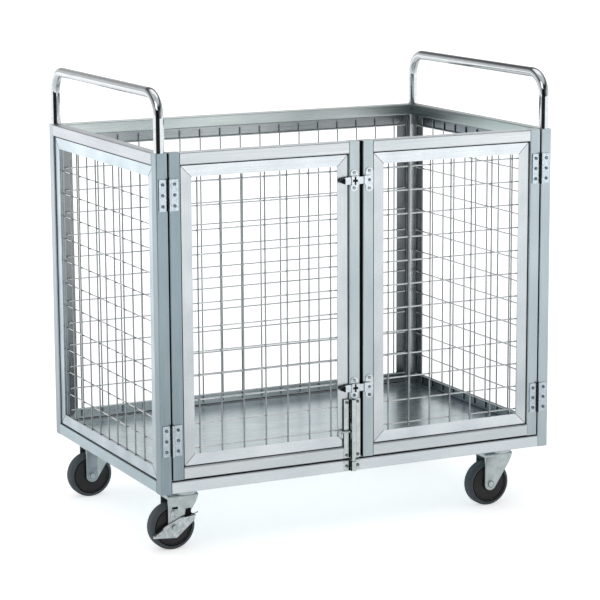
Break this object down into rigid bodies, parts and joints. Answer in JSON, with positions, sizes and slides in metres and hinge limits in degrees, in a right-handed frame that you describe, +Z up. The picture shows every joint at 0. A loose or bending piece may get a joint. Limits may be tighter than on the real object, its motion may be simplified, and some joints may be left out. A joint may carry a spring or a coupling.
{
  "type": "wire cage cart",
  "caption": "Rectangular open-top mesh cage on swivel casters, with hinged double doors, slide latches, a drop bolt and a push handle at each end.",
  "frame": {"origin": "on the floor, under the middle of the cart's box", "axes": "+Z up, -Y towards the front with the doors, +X to the right seen from the front"},
  "size_m": [0.92, 0.6226, 0.964],
  "materials": {
    "stainless_tube": "satin drawn tube",
    "stainless_flat_bar": "satin flat bar",
    "stainless_sheet": "mill-rolled sheet",
    "mesh_wire": "drawn wire",
    "polished_hardware": "polished stainless",
    "handle_chrome": "mirror-bright pipe",
    "zinc_plated_steel": "bright zinc plate",
    "tyre_rubber": "matt grey rubber",
    "hub_nylon": "moulded nylon"
  },
  "bodies": {
    "cage": {"post_front_left": "stainless_tube", "post_front_right": "stainless_tube", "post_rear_left": "stainless_tube", "post_rear_right": "stainless_tube", "base_rail_front": "stainless_tube", "base_rail_rear": "stainless_tube", "base_rail_left": "stainless_tube", "base_rail_right": "stainless_tube", "top_rail_rear": "stainless_tube", "top_rail_left": "stainless_tube", "top_rail_right": "stainless_tube", "deck_panel": "stainless_sheet", "deck_bearers": "stainless_sheet", "rear_panel_trim": "stainless_flat_bar", "rear_panel_mesh": "mesh_wire", "left_panel_trim": "stainless_flat_bar", "left_panel_mesh": "mesh_wire", "right_panel_trim": "stainless_flat_bar", "right_panel_mesh": "mesh_wire", "left_handle": "handle_chrome", "right_handle": "handle_chrome", "hinge_post_leaves": "polished_hardware", "drop_bolt_keeper": "polished_hardware", "frame_screws": "polished_hardware", "caster_plates": "zinc_plated_steel", "caster_bolts": "zinc_plated_steel"},
    "left_door": {"left_door_hinge_stile": "stainless_tube", "left_door_latch_stile": "stainless_tube", "left_door_rails": "stainless_tube", "left_door_trim": "stainless_flat_bar", "left_door_mesh": "mesh_wire", "left_door_hinge_leaves": "polished_hardware", "left_door_screws": "polished_hardware", "latch_guides": "polished_hardware", "drop_bolt_guide": "polished_hardware"},
    "right_door": {"right_door_hinge_stile": "stainless_tube", "right_door_latch_stile": "stainless_tube", "right_door_rails": "stainless_tube", "right_door_trim": "stainless_flat_bar", "right_door_mesh": "mesh_wire", "right_door_hinge_leaves": "polished_hardware", "right_door_screws": "polished_hardware", "latch_keepers": "polished_hardware"},
    "upper_latch": {"upper_latch_bolt": "polished_hardware"},
    "lower_latch": {"lower_latch_bolt": "polished_hardware"},
    "drop_bolt": {"drop_bolt_rod": "polished_hardware"},
    "front_left_caster": {"front_left_fork": "zinc_plated_steel"},
    "front_left_wheel": {"front_left_hub": "hub_nylon", "front_left_tyre": "tyre_rubber"},
    "front_right_caster": {"front_right_fork": "zinc_plated_steel"},
    "front_right_wheel": {"front_right_hub": "hub_nylon", "front_right_tyre": "tyre_rubber"},
    "rear_left_caster": {"rear_left_fork": "zinc_plated_steel"},
    "rear_left_wheel": {"rear_left_hub": "hub_nylon", "rear_left_tyre": "tyre_rubber"},
    "rear_right_caster": {"rear_right_fork": "zinc_plated_steel"},
    "rear_right_wheel": {"rear_right_hub": "hub_nylon", "rear_right_tyre": "tyre_rubber"},
    "front_left_brake": {"front_left_brake_pedal": "zinc_plated_steel"},
    "rear_right_brake": {"rear_right_brake_pedal": "zinc_plated_steel"}
  },
  "joints": [
    {"name": "left_door_swing", "type": "hinge", "parent": "cage", "child": "left_door", "pos_m": [-0.43375, -0.3032, 0.5], "axis": [0, 0, 1], "range_deg": [-170, 0]},
    {"name": "right_door_swing", "type": "hinge", "parent": "cage", "child": "right_door", "pos_m": [0.43375, -0.3032, 0.5], "axis": [0, 0, 1], "range_deg": [0, 170]},
    {"name": "upper_latch_slide", "type": "slide", "parent": "left_door", "child": "upper_latch", "axis": [1, 0, 0], "range_m": [0, 0.015]},
    {"name": "lower_latch_slide", "type": "slide", "parent": "left_door", "child": "lower_latch", "axis": [1, 0, 0], "range_m": [0, 0.015]},
    {"name": "drop_bolt_slide", "type": "slide", "parent": "left_door", "child": "drop_bolt", "axis": [0, 0, 1], "range_m": [-0.014, 0.015]},
    {"name": "front_left_swivel", "type": "hinge", "parent": "cage", "child": "front_left_caster", "pos_m": [-0.3785, -0.2277, 0.119], "axis": [0, 0, 1], "continuous": true},
    {"name": "front_left_wheel_spin", "type": "hinge", "parent": "front_left_caster", "child": "front_left_wheel", "pos_m": [-0.41, -0.2277, 0.05], "axis": [0, 1, 0], "continuous": true},
    {"name": "front_left_brake_press", "type": "hinge", "parent": "front_left_caster", "child": "front_left_brake", "pos_m": [-0.41, -0.2277, 0.05], "axis": [0, 1, 0], "range_deg": [0, 14]},
    {"name": "front_right_swivel", "type": "hinge", "parent": "cage", "child": "front_right_caster", "pos_m": [0.3785, -0.2277, 0.119], "axis": [0, 0, 1], "continuous": true},
    {"name": "front_right_wheel_spin", "type": "hinge", "parent": "front_right_caster", "child": "front_right_wheel", "pos_m": [0.347, -0.2277, 0.05], "axis": [0, 1, 0], "continuous": true},
    {"name": "rear_left_swivel", "type": "hinge", "parent": "cage", "child": "rear_left_caster", "pos_m": [-0.3785, 0.2403, 0.119], "axis": [0, 0, 1], "continuous": true},
    {"name": "rear_left_wheel_spin", "type": "hinge", "parent": "rear_left_caster", "child": "rear_left_wheel", "pos_m": [-0.41, 0.2403, 0.05], "axis": [0, 1, 0], "continuous": true},
    {"name": "rear_right_swivel", "type": "hinge", "parent": "cage", "child": "rear_right_caster", "pos_m": [0.3785, 0.2403, 0.119], "axis": [0, 0, 1], "continuous": true},
    {"name": "rear_right_wheel_spin", "type": "hinge", "parent": "rear_right_caster", "child": "rear_right_wheel", "pos_m": [0.347, 0.2403, 0.05], "axis": [0, 1, 0], "continuous": true},
    {"name": "rear_right_brake_press", "type": "hinge", "parent": "rear_right_caster", "child": "rear_right_brake", "pos_m": [0.347, 0.2403, 0.05], "axis": [0, 1, 0], "range_deg": [0, 14]}
  ]
}
